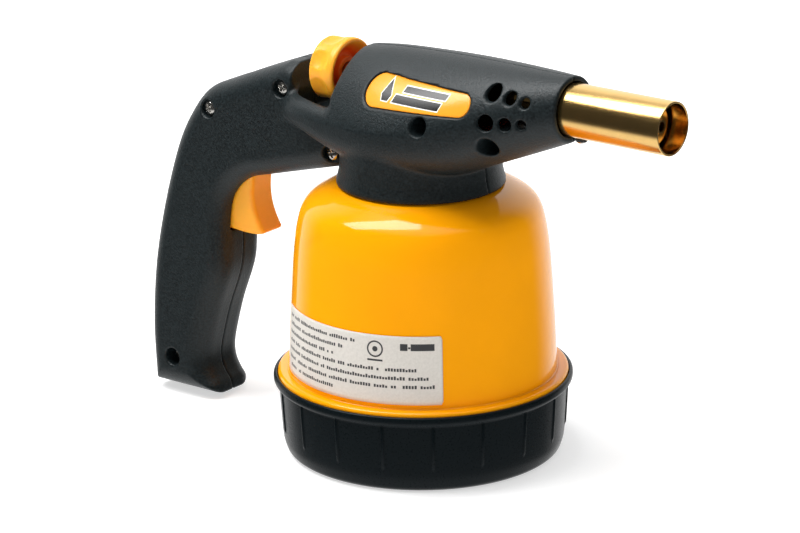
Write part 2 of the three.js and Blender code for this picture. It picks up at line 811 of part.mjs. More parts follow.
function housing() {
  const reach = 40;
  const grip = gripOutline();
  const skirt = [
    [COLLAR_BOTTOM.radius, COLLAR_BOTTOM.z],
    [COLLAR_BOTTOM.radius, COLLAR_BOTTOM.z + 1.4],
    [29.6, COLLAR_BOTTOM.z + 5],
    [29.1, COLLAR_BOTTOM.z + 11],
    [COLLAR_TOP.radius, COLLAR_TOP.z],
  ];
  const collar = turned(
    [
      [0, HOLDER_TOP_Z + GAP],
      [24.6, HOLDER_TOP_Z + GAP],
      [COLLAR_BOTTOM.radius - WALL, COLLAR_BOTTOM.z + 1.2],
      ...skirt,
      [0, COLLAR_TOP.z],
    ],
    ROUND,
  );
  const collarHollow = turned(
    [
      [0, COLLAR_BOTTOM.z - 1],
      [COLLAR_BOTTOM.radius - WALL, COLLAR_BOTTOM.z - 1],
      [COLLAR_BOTTOM.radius - WALL, COLLAR_BOTTOM.z + 1.4],
      [29.6 - WALL, COLLAR_BOTTOM.z + 5],
      [COLLAR_TOP.radius - WALL, COLLAR_TOP.z],
      [0, COLLAR_TOP.z],
    ],
    ROUND,
  );

  const outside = head(0).add(plate(grip, PLATE_HALF, PLATE_ROUNDING)).add(collar);
  const notchWall = box(
    [NOTCH.rearX - WALL, -reach, NOTCH.pocketZ - WALL],
    [NOTCH.frontX + WALL, reach, 160],
  );
  const hollow = head(WALL, -50, NOSE_X - 4)
    .add(plate(grip, PLATE_HALF, PLATE_ROUNDING, WALL))
    .add(collarHollow)
    .subtract(notchWall);

  const pocket = head(NOTCH.cheekWall, NOTCH.rearX, NOTCH.frontX).intersect(
    box([NOTCH.rearX, -reach, NOTCH.pocketZ], [NOTCH.frontX, reach, NOTCH.cheekZ + 1]),
  );
  const notch = box([NOTCH.rearX, -reach, NOTCH.cheekZ], [NOTCH.frontX, reach, 160]).add(pocket);
  const spindleHole = ring(0, 6.4, NOTCH.frontX - 1, NOTCH.frontX + WALL + 1, 24, "x", [0, 0, KNOB_AXIS_Z]);
  const noseHole = ring(0, TUBE.outer + GAP, TUBE.rearX - 1, NOSE_X + 2, 40, "x", [0, 0, BURNER_AXIS_Z]);
  const triggerSlot = box([-96, -TRIGGER_HALF - 0.4, 67.8], [-70, TRIGGER_HALF + 0.4, 93]);

  const piezoRib = box([-108.5, -reach, PIEZO_AXIS_Z - 10], [-106.5, reach, PIEZO_AXIS_Z + 10])
    .intersect(outside)
    .subtract(
      box(
        [-120, -PIEZO_HALF - GAP, PIEZO_AXIS_Z - PIEZO_HALF - GAP],
        [-90, PIEZO_HALF + GAP, PIEZO_AXIS_Z + PIEZO_HALF + GAP],
      ),
    );
  let shell = outside.subtract(hollow).add(piezoRib);
  for (const { x, z, half } of SCREWS)
    shell = shell.add(ring(0, SCREW.boss, -half, half, 12, "y", [x, 0, z]).intersect(outside));
  shell = shell.subtract(notch).subtract(spindleHole).subtract(noseHole).subtract(triggerSlot);

  for (const [x, z, radius] of VENTS)
    for (const fromY of [-reach, 8])
      shell = shell.subtract(ring(0, radius, fromY, fromY + reach - 8, 12, "y", [x, 0, z]));

  for (const { x, z, half, depth } of SCREWS) {
    const headSeat = -half + depth + SCREW.headHeight + GAP;
    shell = shell.subtract(ring(0, SCREW.recess, -half - 12, headSeat, 14, "y", [x, 0, z]));
    shell = shell.subtract(ring(0, SCREW.shank + GAP, -half, 8, 8, "y", [x, 0, z]));
  }

  const skin = head(0).subtract(head(BADGE.sink + BADGE.thickness + GAP));
  for (const [fromY, toY] of [[-reach, -5], [5, reach]])
    shell = shell.subtract(prism(badgeOutline(GAP), fromY, toY).intersect(skin));

  const right = shell.intersect(box([-200, -reach, 0], [200, -SEAM / 2, 200]));
  const left = shell.intersect(box([-200, SEAM / 2, 0], [200, reach, 200]));
  add("right_shell", BLACK_PLASTIC, largest(right));
  add("left_shell", BLACK_PLASTIC, largest(left));

  const badgeSkin = head(BADGE.sink).subtract(head(BADGE.sink + BADGE.thickness));
  add("right_badge", ORANGE_PLASTIC, prism(badgeOutline(0), -reach, -5).intersect(badgeSkin));
  add("left_badge", ORANGE_PLASTIC, prism(badgeOutline(0), 5, reach).intersect(badgeSkin));

  for (const { name, x, z, half, depth } of SCREWS) {
    const top = -half + depth;
    add(
      name,
      STEEL,
      turned(
        [
          [0, top],
          [SCREW.head - 0.8, top],
          [SCREW.head, top + 0.6],
          [SCREW.head, top + SCREW.headHeight],
          [SCREW.shank, top + SCREW.headHeight],
          [SCREW.shank, 7],
          [0, 7.6],
        ],
        10,
        "y",
        [x, 0, z],
      ),
    );
  }
}

baseCup();
gasCartridge();
holderShell();
ratingLabel();
valve();
gasKnob();
burner();
ignition();
trigger();
housing();

export default pieces;
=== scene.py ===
"""The propane torch's looks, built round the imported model.

Shapes are in millimetres until a mesh is made. The camera and the lamps are placed in metres.
"""

import math

import bmesh
import bpy
import numpy as np
import openvdb
from mathutils import Matrix, Vector


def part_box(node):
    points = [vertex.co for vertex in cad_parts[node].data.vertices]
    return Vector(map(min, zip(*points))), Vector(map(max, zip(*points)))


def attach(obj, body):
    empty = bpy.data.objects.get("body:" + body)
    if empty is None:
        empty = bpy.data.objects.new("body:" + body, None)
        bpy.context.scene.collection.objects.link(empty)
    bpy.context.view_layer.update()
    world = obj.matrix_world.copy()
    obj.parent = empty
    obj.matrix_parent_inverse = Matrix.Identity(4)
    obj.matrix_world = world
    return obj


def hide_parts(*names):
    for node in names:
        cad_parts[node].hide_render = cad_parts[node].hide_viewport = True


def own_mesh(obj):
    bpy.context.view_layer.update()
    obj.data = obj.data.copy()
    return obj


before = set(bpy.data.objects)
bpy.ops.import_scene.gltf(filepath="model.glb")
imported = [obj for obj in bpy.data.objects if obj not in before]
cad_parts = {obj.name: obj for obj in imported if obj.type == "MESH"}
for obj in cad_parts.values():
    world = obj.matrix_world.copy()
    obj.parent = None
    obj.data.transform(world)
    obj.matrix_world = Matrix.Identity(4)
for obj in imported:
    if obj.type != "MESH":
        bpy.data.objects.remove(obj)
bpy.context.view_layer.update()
MM = 0.001


def cad_box(node):
    """Lowest and highest corner of a CAD node, in millimetres."""
    return [[c / MM for c in corner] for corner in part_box(node)]


# ---- Driving dimensions ----

TUBE_BOX = cad_box("burner_tube")
KNOB_BOX = cad_box("gas_knob")
SHELL_BOX = [np.minimum(cad_box("right_shell")[0], cad_box("left_shell")[0]),
             np.maximum(cad_box("right_shell")[1], cad_box("left_shell")[1])]
BURNER_Z = (TUBE_BOX[0][2] + TUBE_BOX[1][2]) / 2
KNOB_Z = (KNOB_BOX[0][2] + KNOB_BOX[1][2]) / 2
NOSE_X = SHELL_BOX[1][0]
WALL = 2.2
PLATE_HALF = 13.0
PLATE_ROUNDING = 8.0
TUBE_BORE = 8.9  # radius inside the burner tube

# How far apart the housing's surface is sampled
FULL_STEP = 0.55

# The label round the bell: its ends in degrees, its heights, and the radius that its print is measured on
LABEL = {"from": -132, "to": -44, "low": 32.7, "high": 57.9, "corner": 0.5, "thick": 0.18, "radius": 48.5}
LABEL_ROWS = {"start": -129, "ends": (-82, -88, -93, -55, -50, -47, -91), "top": 56.35, "pitch": 3.1}
LABEL_MARK = {"turn": -72.7, "height": 52.8, "ring": 2.75, "dot": 1.0}


# ---- Fields: signed distances in millimetres, negative inside ----


def smooth_max(a, b, k):
    h = np.clip(0.5 + 0.5 * (a - b) / k, 0, 1)
    return b + (a - b) * h + k * h * (1 - h)


def smooth_min(a, b, k):
    return -smooth_max(-a, -b, k)


def curve_through(points, t):
    """Values of a smooth curve through (t, value) points."""
    points = np.array(points, float)
    ts, vs = points[:, 0], points[:, 1]
    slopes = np.gradient(vs, ts)
    slopes[1:-1] = (vs[2:] - vs[:-2]) / (ts[2:] - ts[:-2])
    i = np.clip(np.searchsorted(ts, t) - 1, 0, len(ts) - 2)
    span = ts[i + 1] - ts[i]
    u = np.clip((t - ts[i]) / span, 0, 1)
    return (
        (2 * u**3 - 3 * u**2 + 1) * vs[i]
        + (u**3 - 2 * u**2 + u) * span * slopes[i]
        + (3 * u**2 - 2 * u**3) * vs[i + 1]
        + (u**3 - u**2) * span * slopes[i + 1]
    )


def spline(points, per_span=6):
    """Points along a smooth line through 2D points."""
    p = np.array(points, float)
    p = np.vstack([2 * p[0] - p[1], p, 2 * p[-1] - p[-2]])
    out = []
    for i in range(1, len(p) - 2):
        for t in np.arange(per_span) / per_span:
            a, b, c, d = p[i - 1 : i + 3]
            bend = (2 * a - 5 * b + 4 * c - d) * t**2
            out.append(0.5 * (2 * b + (c - a) * t + bend + (3 * b - a - 3 * c + d) * t**3))
    out.append(p[-2])
    return np.array(out)


class Outline:
    """Signed distance to a closed 2D outline, read from a grid."""

    def __init__(self, points, step=0.5, margin=14.0):
        points = np.array(points, float)
        self.low = points.min(0) - margin
        self.step = step
        size = np.ceil((points.max(0) + margin - self.low) / step).astype(int) + 2
        gx = self.low[0] + step * np.arange(size[0])
        gz = self.low[1] + step * np.arange(size[1])
        px, pz = np.meshgrid(gx, gz, indexing="ij")
        best = np.full(px.shape, 1e9)
        inside = np.zeros(px.shape, bool)
        for a, b in zip(points, np.roll(points, -1, 0)):
            edge = b - a
            length2 = float(edge @ edge)
            if length2 < 1e-12:
                continue
            t = np.clip(((px - a[0]) * edge[0] + (pz - a[1]) * edge[1]) / length2, 0, 1)
            best = np.minimum(best, (px - a[0] - t * edge[0]) ** 2 + (pz - a[1] - t * edge[1]) ** 2)
            if a[1] != b[1]:
                crosses = (a[1] > pz) != (b[1] > pz)
                inside ^= crosses & (px < a[0] + (pz - a[1]) * edge[0] / edge[1])
        self.grid = np.where(inside, -1, 1) * np.sqrt(best)

    def __call__(self, x, z):
        u = (x - self.low[0]) / self.step
        v = (z - self.low[1]) / self.step
        n, m = self.grid.shape
        uc = np.clip(u, 0, n - 1.001)
        vc = np.clip(v, 0, m - 1.001)
        i, j = uc.astype(int), vc.astype(int)
        fu, fv = uc - i, vc - j
        g = self.grid
        value = (
            g[i, j] * (1 - fu) * (1 - fv)
            + g[i + 1, j] * fu * (1 - fv)
            + g[i, j + 1] * (1 - fu) * fv
            + g[i + 1, j + 1] * fu * fv
        )
        return value + self.step * np.hypot(u - uc, v - vc)


def plate_field(outline, half, rounding, x, y, z):
    """An outline in X and Z with a thickness across Y and rounded edges."""
    a = outline(x, z) + rounding
    b = np.abs(y) - half + rounding
    return np.minimum(np.maximum(a, b), 0) + np.hypot(np.maximum(a, 0), np.maximum(b, 0)) - rounding


def rod_y(x, z, cx, cz, radius):
    return np.hypot(x - cx, z - cz) - radius


def rod_x(y, z, cz, radius):
    return np.hypot(y, z - cz) - radius


def box_field(p, low, high, rounding):
    """A box between two corners with rounded edges."""
    q = []
    for value, a, b in zip(p, low, high):
        q.append(np.abs(value - (a + b) / 2) - (b - a) / 2 + rounding)
    outside = np.sqrt(sum(np.maximum(v, 0) ** 2 for v in q))
    return outside + np.minimum(np.maximum(np.maximum(q[0], q[1]), q[2]), 0) - rounding


# ---- Meshes ----


def new_object(name, vertices, faces):
    """A smooth-shaded object from vertices in millimetres."""
    mesh = bpy.data.meshes.new(name)
    mesh.from_pydata((np.asarray(vertices) * MM).tolist(), [], [list(map(int, f)) for f in faces])
    mesh.validate()
    mesh.polygons.foreach_set("use_smooth", [True] * len(mesh.polygons))
    mesh.update()
    made = bpy.data.objects.new(name, mesh)
    bpy.context.scene.collection.objects.link(made)
    return made


def surface_of(name, field, low, high, step):
    """The surface where field(x, y, z) is 0, sampled every step millimetres near it."""
    block = 8
    low = np.array(low, float) - 2 * step
    blocks = np.ceil((np.array(high) + 2 * step - low) / (step * block)).astype(int)
    size = blocks * block
    reach = step * block * 0.95
    centres = [low[k] + step * (block * np.arange(blocks[k]) + (block - 1) / 2) for k in range(3)]
    cx, cy, cz = np.meshgrid(*centres, indexing="ij")
    coarse = field(cx.ravel(), cy.ravel(), cz.ravel()).reshape(cx.shape)
    band = 3 * step
    values = np.where(coarse > 0, band, -band).astype(np.float32)
    values = values.repeat(block, 0).repeat(block, 1).repeat(block, 2)
    near = np.argwhere(np.abs(coarse) < reach * 1.25)
    offsets = np.arange(block)
    for start in range(0, len(near), 3000):
        group = near[start : start + 3000]
        ix = (group[:, 0, None] * block + offsets)[:, :, None, None]
        iy = (group[:, 1, None] * block + offsets)[:, None, :, None]
        iz = (group[:, 2, None] * block + offsets)[:, None, None, :]
        ix, iy, iz = np.broadcast_arrays(ix, iy, iz)
        found = field(low[0] + step * ix.ravel(), low[1] + step * iy.ravel(), low[2] + step * iz.ravel())
        values[ix.ravel(), iy.ravel(), iz.ravel()] = np.clip(found, -band, band)
    for axis in range(3):
        edge = [slice(None)] * 3
        for end in (0, size[axis] - 1):
            edge[axis] = end
            values[tuple(edge)] = band
    grid = openvdb.FloatGrid(band)
    grid.copyFromArray(values)
    points, quads = grid.convertToQuads(0)
    points = low + points.astype(float) * step
    points = settle(points, field, step)
    made = new_object(name, points, quads[:, ::-1])
    check = bmesh.new()
    check.from_mesh(made.data)
    if check.calc_volume(signed=True) < 0:
        bmesh.ops.reverse_faces(check, faces=check.faces)
        check.to_mesh(made.data)
    check.free()
    return made


def settle(points, field, step):
    """Moves points onto the surface itself, by less than a step."""
    eps = 0.08 * step
    for _ in range(2):
        x, y, z = points.T
        d = field(x, y, z)
        g = np.stack(
            [
                field(x + eps, y, z) - field(x - eps, y, z),
                field(x, y + eps, z) - field(x, y - eps, z),
                field(x, y, z + eps) - field(x, y, z - eps),
            ],
            1,
        ) / (2 * eps)
        length2 = np.maximum((g**2).sum(1), 0.25)
        move = np.clip(d / length2, -0.4 * step, 0.4 * step)
        points = points - move[:, None] * g
    return points


def lathe(name, profile, turns=160, axis="z", centre=(0, 0, 0), shift=None):
    """A closed or axis-to-axis profile of (radius, height) turned about an axis.

    shift moves radii by angle and height.
    """
    profile = np.array(profile, float)
    closed = bool(np.allclose(profile[0], profile[-1]))
    if closed:
        profile = profile[:-1]
    angles = turns if hasattr(turns, "__len__") else np.arange(turns) * 2 * math.pi / turns
    vertices = []
    for angle in angles:
        radius = profile[:, 0].copy()
        if shift is not None:
            radius = radius + shift(angle, profile)
        c, s = math.cos(angle), math.sin(angle)
        for r, h in zip(radius, profile[:, 1]):
            vertices.append((r * c, r * s, h) if axis == "z" else (h, r * c, r * s))
    count, rows = len(angles), len(profile)
    faces = []
    for i in range(count):
        j = (i + 1) % count
        for k in range(rows if closed else rows - 1):
            m = (k + 1) % rows
            faces.append((i * rows + k, j * rows + k, j * rows + m, i * rows + m))
    made = new_object(name, np.array(vertices) + np.array(centre), faces)
    work = bmesh.new()
    work.from_mesh(made.data)
    bmesh.ops.remove_doubles(work, verts=work.verts, dist=1e-7)
    if work.calc_volume(signed=True) < 0:
        bmesh.ops.reverse_faces(work, faces=work.faces)
    work.to_mesh(made.data)
    work.free()
    return made


def rounded(profile, radius, steps=4):
    """A profile with its corners rounded; each point is (r, z) or (r, z, own radius)."""
    out = []
    last = len(profile) - 1
    for i, point in enumerate(profile):
        here = np.array(point[:2], float)
        own = point[2] if len(point) > 2 else radius
        if i in (0, last) or own == 0:
            out.append(here)
            continue
        before = np.array(profile[i - 1][:2], float) - here
        after = np.array(profile[i + 1][:2], float) - here
        lb, la = np.linalg.norm(before), np.linalg.norm(after)
        cut = min(own, lb * 0.45, la * 0.45)
        a, b = here + before / lb * cut, here + after / la * cut
        for t in np.linspace(0, 1, steps + 1):
            out.append((1 - t) ** 2 * a + 2 * t * (1 - t) * here + t**2 * b)
    return np.array(out)


# ---- Materials ----


def math_node(tree, operation, *values):
    """The result of a Math node on sockets and numbers."""
    node = tree.nodes.new("ShaderNodeMath")
    node.operation = operation
    for target, value in zip(node.inputs, values):
        if hasattr(value, "is_linked"):
            tree.links.new(value, target)
        else:
            target.default_value = value
    return node.outputs[0]


class Finish:
    """A node material made of noise, ramps and bumps over a Principled shader. Lengths are in millimetres."""

    def __init__(self, name, **sockets):
        self.material = bpy.data.materials.new(name)
        self.material.use_nodes = True
        self.tree = self.material.node_tree
        self.shader = self.tree.nodes["Principled BSDF"]
        for socket, value in sockets.items():
            self.shader.inputs[socket.replace("_", " ")].default_value = value
        place = self.tree.nodes.new("ShaderNodeTexCoord").outputs["Object"]
        scale = self.tree.nodes.new("ShaderNodeVectorMath")
        scale.operation = "SCALE"
        scale.inputs["Scale"].default_value = 1 / MM
        self.tree.links.new(place, scale.inputs[0])
        self.place = scale.outputs[0]

    def link(self, source, target):
        if isinstance(target, str):
            target = self.shader.inputs[target]
        self.tree.links.new(source, target)

    def noise(self, size, detail, roughness=0.5, stretch=(1, 1, 1)):
        """Noise with features about size millimetres across."""
        mapping = self.tree.nodes.new("ShaderNodeMapping")
        mapping.inputs["Scale"].default_value = [1 / (size * s) for s in stretch]
        self.link(self.place, mapping.inputs["Vector"])
        node = self.tree.nodes.new("ShaderNodeTexNoise")
        node.inputs["Scale"].default_value = 1.0
        node.inputs["Detail"].default_value = detail
        node.inputs["Roughness"].default_value = roughness
        self.link(mapping.outputs[0], node.inputs["Vector"])
        return node.outputs["Fac"]

    def ramp(self, factor, *stops, steps=False):
        """Colour along a factor; each stop is (place, colour or grey)."""
        node = self.tree.nodes.new("ShaderNodeValToRGB")
        node.color_ramp.interpolation = "CONSTANT" if steps else "LINEAR"
        elements = node.color_ramp.elements
        while len(elements) < len(stops):
            elements.new(0.5)
        for element, (place, colour) in zip(elements, stops):
            element.position = place
            grey = not hasattr(colour, "__len__")
            element.color = (colour, colour, colour, 1) if grey else (*colour[:3], 1)
        self.link(factor, node.inputs["Fac"])
        return node.outputs["Color"]

    def mix(self, factor, a, b):
        node = self.tree.nodes.new("ShaderNodeMix")
        node.data_type = "RGBA"
        self.link(factor, node.inputs["Factor"])
        for socket, value in (("A", a), ("B", b)):
            target = [i for i in node.inputs if i.name == socket and i.type == "RGBA"][0]
            if hasattr(value, "is_linked"):
                self.link(value, target)
            else:
                target.default_value = (*value[:3], 1)
        return [o for o in node.outputs if o.type == "RGBA"][0]

    def math(self, operation, *values):
        return math_node(self.tree, operation, *values)

    def length(self, a, b):
        """The length of the vector (a, b)."""
        return self.math("SQRT", self.math("ADD", self.math("POWER", a, 2), self.math("POWER", b, 2)))

    def all_of(self, *masks):
        """1 where every mask is 1."""
        whole = masks[0]
        for mask in masks[1:]:
            whole = self.math("MULTIPLY", whole, mask)
        return whole

    def patch(self, across, up, middle, level, half, rise):
        """1 inside a rectangle round (middle, level)."""
        beside = self.math("ABSOLUTE", self.math("SUBTRACT", across, middle))
        over = self.math("ABSOLUTE", self.math("SUBTRACT", up, level))
        return self.all_of(self.math("LESS_THAN", beside, half), self.math("LESS_THAN", over, rise))

    def scatter(self, column, row):
        """A random value of 0 to 1 for each whole column and row."""
        join = self.tree.nodes.new("ShaderNodeCombineXYZ")
        self.link(column, join.inputs["X"])
        self.link(row, join.inputs["Y"])
        node = self.tree.nodes.new("ShaderNodeTexWhiteNoise")
        node.noise_dimensions = "2D"
        self.link(join.outputs[0], node.inputs["Vector"])
        return node.outputs["Value"]

    def bump(self, height, depth):
        """Adds relief of depth millimetres to the surface."""
        node = self.tree.nodes.new("ShaderNodeBump")
        node.inputs["Distance"].default_value = depth * MM
        node.inputs["Strength"].default_value = 1.0
        self.link(height, node.inputs["Height"])
        self.link(node.outputs["Normal"], "Normal")

    def axis(self, name):
        """One coordinate of the point, in millimetres."""
        node = self.tree.nodes.new("ShaderNodeSeparateXYZ")
        self.link(self.place, node.inputs[0])
        return node.outputs[name]


def srgb(red, green, blue):
    """Linear colour from screen values of 0 to 255."""
    values = []
    for value in (red, green, blue):
        c = value / 255
        values.append(c / 12.92 if c <= 0.04045 else ((c + 0.055) / 1.055) ** 2.4)
    return (*values, 1)


def tinted(colour, factor):
    return tuple(c * factor for c in colour[:3])


def moulded(name, colour, roughness, grain, depth, variation=0.12, **sockets):
    """Moulded plastic with a fine eroded grain."""
    finish = Finish(name, Roughness=roughness, **sockets)
    fine = finish.noise(grain, 3, 0.6)
    broad = finish.noise(22, 3)
    shade = finish.ramp(fine, (0.30, tinted(colour, 1 - variation)), (0.70, tinted(colour, 1 + variation)))
    worn = finish.ramp(broad, (0.35, tinted(colour, 0.93)), (0.65, tinted(colour, 1.07)))
    finish.link(finish.mix(finish.math("MULTIPLY", broad, 0.5), shade, worn), "Base Color")
    finish.link(finish.ramp(fine, (0.3, roughness - 0.06), (0.7, roughness + 0.08)), "Roughness")
    finish.bump(fine, depth)
    return finish.material


def metal(name, colour, roughness, grain=(6, 0.15, 0.15), depth=0.002, streak=0.05):
    """Drawn or turned metal with fine lines along its longest grain."""
    finish = Finish(name, Metallic=1.0, Roughness=roughness)
    lines = finish.noise(1.0, 3, 0.6, grain)
    stain = finish.noise(9, 4, 0.6)
    base = finish.ramp(stain, (0.3, tinted(colour, 0.93)), (0.7, tinted(colour, 1.03)))
    finish.link(base, "Base Color")
    finish.link(finish.ramp(lines, (0.25, roughness - streak), (0.75, roughness + streak)), "Roughness")
    finish.bump(lines, depth)
    return finish.material


def painted(name, colour):
    """Glossy enamel over pressed steel."""
    finish = Finish(name, Roughness=0.08, Specular_IOR_Level=0.4)
    broad = finish.noise(30, 3)
    finish.link(finish.ramp(broad, (0.35, tinted(colour, 0.97)), (0.65, tinted(colour, 1.02))), "Base Color")
    peel = finish.noise(1.6, 1.5)
    finish.link(finish.ramp(peel, (0.3, 0.06), (0.7, 0.10)), "Roughness")
    finish.bump(peel, 0.0025)
    return finish.material


def printed_film(name):
    """Pale label film with rows of plain grey blocks, a ring and a bold bar in place of print."""
    finish = Finish(name, Roughness=0.4)
    paper = finish.noise(0.8, 2)
    base = finish.ramp(paper, (0.3, srgb(203, 198, 190)), (0.7, srgb(211, 206, 198)))
    height = finish.axis("Z")
    turn = finish.math("MULTIPLY", finish.math("ARCTAN2", finish.axis("Y"), finish.axis("X")), 180 / math.pi)
    arc = LABEL["radius"] * math.pi / 180
    across = finish.math("MULTIPLY", turn, arc)
    line = finish.math("DIVIDE", finish.math("SUBTRACT", LABEL_ROWS["top"], height), LABEL_ROWS["pitch"])
    row = finish.math("FLOOR", line)
    within = finish.math("FRACT", line)
    ends = LABEL_ROWS["ends"]
    first, span = LABEL["from"], LABEL["to"] - LABEL["from"]
    stops = [((k + 0.001) / len(ends), (end - first) / span) for k, end in enumerate(ends)]
    limit = finish.ramp(finish.math("DIVIDE", finish.math("ADD", row, 0.5), len(ends)), *stops, steps=True)
    share = finish.math("DIVIDE", finish.math("SUBTRACT", turn, first), span)
    reach = finish.all_of(finish.math("LESS_THAN", share, limit),
                          finish.math("GREATER_THAN", turn, LABEL_ROWS["start"]),
                          finish.math("GREATER_THAN", line, 0), finish.math("LESS_THAN", line, len(ends)))
    cell = finish.math("DIVIDE", across, 1.05)
    letter = finish.scatter(finish.math("FLOOR", cell), row)
    tall = finish.math("MULTIPLY_ADD", letter, 0.22, 0.2)
    blocks = finish.all_of(reach, finish.math("LESS_THAN", finish.math("FRACT", cell), 0.74),
                           finish.math("GREATER_THAN", letter, 0.16),
                           finish.math("GREATER_THAN", within, tall), finish.math("LESS_THAN", within, 0.68))
    mark = LABEL_MARK["turn"]
    mark_x = finish.math("SUBTRACT", across, mark * arc)
    mark_z = finish.math("SUBTRACT", height, LABEL_MARK["height"])
    away = finish.length(mark_x, mark_z)
    off_ring = finish.math("ABSOLUTE", finish.math("SUBTRACT", away, LABEL_MARK["ring"]))
    ring = finish.math("LESS_THAN", off_ring, 0.3)
    dot = finish.math("LESS_THAN", away, LABEL_MARK["dot"])
    caption = finish.patch(turn, height, mark, 48.7, 3.4, 0.35)
    bars = [finish.patch(turn, height, at, 54.0, half, 1.25) for at, half in ((-60.2, 1.6), (-52.3, 5.0))]
    link = finish.patch(turn, height, -57.9, 53.8, 0.5, 0.35)
    ink = blocks
    for part in (ring, dot, caption, link, *bars):
        ink = finish.math("MAXIMUM", ink, part)
    finish.link(finish.mix(ink, base, srgb(58, 58, 60)), "Base Color")
    finish.bump(paper, 0.004)
    return finish.material


def badge_print(name, colour):
    """Orange badge with two slanted dark bars, edged in white, and a plain drop beside them."""
    finish = Finish(name, Roughness=0.22)
    fine = finish.noise(1.2, 3, 0.6)
    base = finish.ramp(fine, (0.3, tinted(colour, 0.98)), (0.7, tinted(colour, 1.02)))
    height = finish.axis("Z")
    lean = finish.math("MULTIPLY_ADD", finish.math("SUBTRACT", height, 139), -0.3, finish.axis("X"))
    near = None
    for middle, level, half, rise in ((17.5, 140.75, 9.5, 0.95), (16.0, 137.5, 10.2, 1.25)):
        side = finish.math("SUBTRACT", finish.math("ABSOLUTE", finish.math("SUBTRACT", lean, middle)), half)
        over = finish.math("SUBTRACT", finish.math("ABSOLUTE", finish.math("SUBTRACT", height, level)), rise)
        bar = finish.math("MAXIMUM", side, over)
        near = bar if near is None else finish.math("MINIMUM", near, bar)
    taper = finish.math("MULTIPLY", finish.math("SUBTRACT", height, 138.2), 0.45)
    drop_x = finish.math("ABSOLUTE", finish.math("SUBTRACT", finish.axis("X"), 1.6))
    drop = finish.math("SUBTRACT", finish.math("ADD", drop_x, finish.math("ABSOLUTE", taper)), 2.2)
    drop = finish.math("MAXIMUM", drop, finish.math("SUBTRACT", 136.3, height))
    near = finish.math("MINIMUM", near, drop)
    edged = finish.mix(finish.math("LESS_THAN", near, 0.35), base, srgb(238, 236, 232))
    finish.link(finish.mix(finish.math("LESS_THAN", near, 0.0), edged, srgb(30, 30, 31)), "Base Color")
    finish.bump(fine, 0.005)
    return finish.material


def knob_orange(name, colour, dish_shade):
    """Orange plastic, with painted shade in the knob's dish: a deeper red-orange there stands in for its
    shadow and the orange light bouncing inside it.
    """
    finish = Finish(name, Roughness=0.36, Subsurface_Weight=0.3, Subsurface_Scale=0.004)
    fine = finish.noise(1.4, 3, 0.6)
    base = finish.ramp(fine, (0.3, tinted(colour, 0.98)), (0.7, tinted(colour, 1.02)))
    rise = finish.math("SUBTRACT", finish.axis("Z"), KNOB_Z)
    radius = finish.length(finish.axis("Y"), rise)
    # Painted shade and bounced light in the dish: 1 within 8 mm of the knob's axis, fading to 0 by 10.4 mm,
    # and only on the front 5.2 mm
    inside = finish.ramp(finish.math("DIVIDE", radius, 20), (0.40, 1.0), (0.52, 0.0))
    front = finish.math("GREATER_THAN", finish.axis("X"), KNOB_BOX[1][0] - 5.2)
    finish.link(finish.mix(finish.math("MULTIPLY", inside, front), base, dish_shade), "Base Color")
    finish.bump(fine, 0.008)
    return finish.material


BLACK_PLASTIC = moulded("black_abs", srgb(22, 30, 32), 0.42, grain=0.75, depth=0.16, variation=0.8,
                        Specular_IOR_Level=0.38)
BASE_PLASTIC = moulded("base_plastic", srgb(10, 18, 21), 0.3, grain=0.7, depth=0.012,
                       Specular_IOR_Level=0.12)
# The second colour is painted shade for the knob's dish: a deeper red-orange where the real orange is only
# shaded
ORANGE_PLASTIC = knob_orange("orange_plastic", srgb(250, 170, 40), srgb(255, 104, 14))
BADGE_PLASTIC = badge_print("badge_plastic", srgb(252, 160, 40))
YELLOW_PAINT = painted("yellow_enamel", (0.93, 0.352, 0.0012))
LABEL_FILM = printed_film("label_film")
BURNER_BRASS = metal("burner_brass", srgb(251, 207, 131), 0.2)
BRASS = metal("turned_brass", srgb(190, 150, 80), 0.3)
STEEL = metal("steel", srgb(176, 178, 180), 0.35)
SCREW_STEEL = metal("nickel_screw", srgb(215, 212, 206), 0.2, grain=(1, 1, 1))
TIN_PLATE = metal("tin_plate", srgb(200, 204, 206), 0.3)
SEAL_RUBBER = moulded("seal_rubber", srgb(24, 24, 24), 0.8, grain=0.3, depth=0.02)
CERAMIC = moulded("ceramic", srgb(238, 233, 222), 0.35, grain=0.5, depth=0.004, variation=0.03)
NATURAL_PLASTIC = moulded("natural_plastic", srgb(216, 212, 200), 0.5, grain=1.0, depth=0.01, variation=0.04)
WIRE_SLEEVE = moulded("wire_sleeve", srgb(176, 40, 30), 0.45, grain=0.8, depth=0.01, variation=0.06)


def dress(piece, body, material):
    """Gives a piece its material and says which body it moves with."""
    piece.data.materials.clear()
    piece.data.materials.append(material)
    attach(piece, body)


# ---- Housing ----

# Side view of the grip and neck: the back from the notch down, the front from the foot up, and its end
# inside the head
GRIP_BACK = [
    (-54, 138.6), (-60, 136.3), (-70, 132.4), (-80, 128.2), (-92.1, 122.7), (-100.2, 113.6), (-107.7, 99.8),
    (-115.5, 75.9), (-121, 51), (-123.2, 26), (-122.4, 2.2),
]
GRIP_FRONT = [
    (-91.3, 2.2), (-92.3, 6.0), (-94.6, 9), (-96.5, 13), (-96.3, 19.5), (-91.9, 35.3), (-86, 50.8),
    (-84.5, 60.5), (-84.2, 73), (-81.5, 83), (-74, 90.3), (-61.7, 94.2), (-33.3, 101.9),
]
GRIP_INNER = [(-28, 103.4), (-28, 122), (-44, 132), (-46, 139)]
GRIP = Outline(np.vstack([spline(GRIP_BACK), spline(GRIP_FRONT), GRIP_INNER]))

